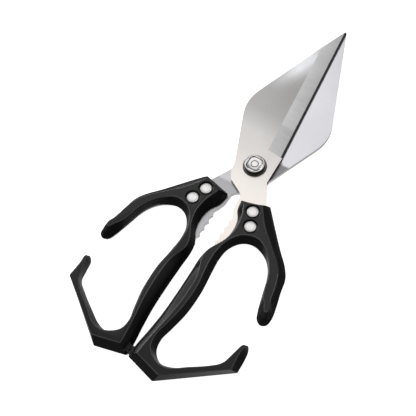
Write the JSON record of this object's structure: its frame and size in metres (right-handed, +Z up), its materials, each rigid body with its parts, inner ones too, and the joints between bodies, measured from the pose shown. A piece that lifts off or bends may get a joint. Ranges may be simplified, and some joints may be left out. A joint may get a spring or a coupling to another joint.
{
  "type": "poultry shears",
  "caption": "Poultry shears with broad pointed steel blades, a round pivot nut, riveted black open-loop handles and a toothed nutcracker gap.",
  "frame": {"origin": "centre of the bounding box's bottom face, with the shears lying flat and closed; the pivot axis is at x = 0, y = 0.01045 m", "axes": "+Y from the handles towards the blade tips, +Z up out of the flat faces of the handles, +X towards the handle of the front blade"},
  "size_m": [0.1116, 0.2558, 0.0125],
  "materials": {
    "blade_steel": "satin ground stainless steel",
    "bright_steel": "polished stainless steel",
    "spring_steel": "plain spring steel",
    "handle_plastic": "black moulded plastic, soft satin",
    "pad_rubber": "matt black rubber"
  },
  "bodies": {
    "front_half": {"front_blade": "blade_steel", "right_handle_top_shell": "handle_plastic", "right_handle_bottom_shell": "handle_plastic", "right_stop_pad": "pad_rubber", "right_upper_rivet_barrel": "bright_steel", "right_upper_rivet_pin": "bright_steel", "right_lower_rivet_barrel": "bright_steel", "right_lower_rivet_pin": "bright_steel", "pivot_nut": "bright_steel", "pivot_screw": "bright_steel", "front_washer": "blade_steel", "rear_spring_washer": "spring_steel"},
    "rear_half": {"rear_blade": "blade_steel", "left_handle_top_shell": "handle_plastic", "left_handle_bottom_shell": "handle_plastic", "left_stop_pad": "pad_rubber", "left_upper_rivet_barrel": "bright_steel", "left_upper_rivet_pin": "bright_steel", "left_lower_rivet_barrel": "bright_steel", "left_lower_rivet_pin": "bright_steel"}
  },
  "joints": [
    {"name": "blade_pivot", "type": "hinge", "parent": "front_half", "child": "rear_half", "pos_m": [0, 0.01045, 0.005], "axis": [0, 0, -1], "range_deg": [0, 60]}
  ]
}
